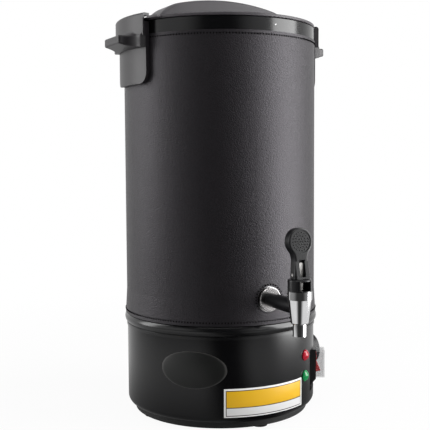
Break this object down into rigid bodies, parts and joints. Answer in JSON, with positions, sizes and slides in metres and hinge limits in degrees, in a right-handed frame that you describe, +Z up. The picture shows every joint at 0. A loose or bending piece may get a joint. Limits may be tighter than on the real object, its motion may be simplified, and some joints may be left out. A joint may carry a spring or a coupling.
{
  "type": "electric wax melting urn",
  "caption": "Tall heated wax melting urn: leather-wrapped pot on a drum of controls, with a twist-lock lid, two handles and a lever tap.",
  "frame": {"origin": "on the pot's axis at the level the feet stand on", "axes": "+Z up along the pot; -Y towards the tap; +X towards the right-hand carrying handle and the thermostat knob"},
  "size_m": [0.2712, 0.2979, 0.4801],
  "materials": {
    "rubber_black": "matt black rubber",
    "steel_zinc": "zinc plated",
    "pan_plastic": "matt black",
    "drum_paint": "satin black paint",
    "bead_black": "gloss black",
    "sleeve_steel": "brushed",
    "wool": "pale mineral wool",
    "leather_black": "fine-grained black",
    "collar_black": "gloss black enamel",
    "pot_steel": "satin stainless",
    "lid_black": "satin to gloss black",
    "seal_silicone": "dark silicone",
    "handle_black": "fine satin black",
    "plate_aluminium": "cast, dull",
    "element_steel": "dull tube",
    "control_plastic": "dark moulding",
    "knob_black": "satin black",
    "lens_red": "clear red",
    "lens_green": "clear green",
    "switch_black": "black moulding",
    "rocker_red": "red",
    "hood_clear": "clear, soft",
    "inlet_black": "black moulding",
    "brass_pins": "bright",
    "tap_chrome": "mirror bright",
    "tap_black": "satin black",
    "stem_steel": "bright"
  },
  "bodies": {
    "urn": {"feet": "rubber_black", "foot_screws": "steel_zinc", "foot_nuts": "steel_zinc", "base_pan": "pan_plastic", "base_drum": "drum_paint", "shoulder_ring": "bead_black", "outer_sleeve": "sleeve_steel", "insulation": "wool", "leather_jacket": "leather_black", "inner_pot": "pot_steel", "rim_collar": "collar_black", "handle_left": "handle_black", "handle_right": "handle_black", "handle_screws": "steel_zinc", "heating_plate": "plate_aluminium", "heating_element": "element_steel", "element_clamp": "element_steel", "heater_stud": "steel_zinc", "heater_nut": "steel_zinc", "thermal_cutout": "control_plastic", "thermostat": "control_plastic", "thermostat_nut": "steel_zinc", "lens_red": "lens_red", "lens_green": "lens_green", "lamp_red": "control_plastic", "lamp_green": "control_plastic", "switch_frame": "switch_black", "switch_body": "control_plastic", "switch_hood": "hood_clear", "power_inlet": "inlet_black", "inlet_pins": "brass_pins", "inlet_screws": "steel_zinc", "tap_body": "tap_chrome", "tap_cover": "tap_black", "tap_ring": "tap_chrome", "tap_spacer": "steel_zinc", "tap_washer": "seal_silicone", "tap_lock_nut": "tap_chrome", "tap_bonnet": "tap_black"},
    "lid_ring": {"lid_seal": "seal_silicone"},
    "lid": {"lid": "lid_black"},
    "tap_stem": {"tap_stem": "stem_steel", "tap_seat": "seal_silicone", "tap_pin": "stem_steel", "tap_spring": "stem_steel"},
    "tap_lever": {"tap_lever": "tap_black"},
    "rocker": {"switch_rocker": "rocker_red"},
    "knob": {"knob": "knob_black", "knob_shaft": "steel_zinc"}
  },
  "joints": [
    {"name": "lid_lift", "type": "slide", "parent": "urn", "child": "lid_ring", "axis": [0, 0, 1], "range_m": [0, 0.15]},
    {"name": "lid_turn", "type": "hinge", "parent": "lid_ring", "child": "lid", "pos_m": [0, 0, 0.448], "axis": [0, 0, -1], "range_deg": [0, 22]},
    {"name": "tap_stem_lift", "type": "slide", "parent": "urn", "child": "tap_stem", "axis": [0, 0, 1], "range_m": [0, 0.0032], "stiffness_N_per_m": 300, "deforming": ["tap_spring"]},
    {"name": "tap_lever_tilt", "type": "hinge", "parent": "tap_stem", "child": "tap_lever", "pos_m": [0, -0.1705, 0.1793], "axis": [1, 0, 0], "range_deg": [0, 30]},
    {"name": "rocker_tilt", "type": "hinge", "parent": "urn", "child": "rocker", "pos_m": [0.09244, -0.05776, 0.053], "axis": [0.5299, 0.848, 0], "range_deg": [0, 24]},
    {"name": "knob_turn", "type": "hinge", "parent": "urn", "child": "knob", "pos_m": [0, 0, 0.054], "axis": [1, 0, 0], "range_deg": [0, 270]}
  ],
  "couplings": [
    {"joint": "tap_lever_tilt", "follows": "tap_stem_lift", "rad_per_m": 163.6}
  ]
}
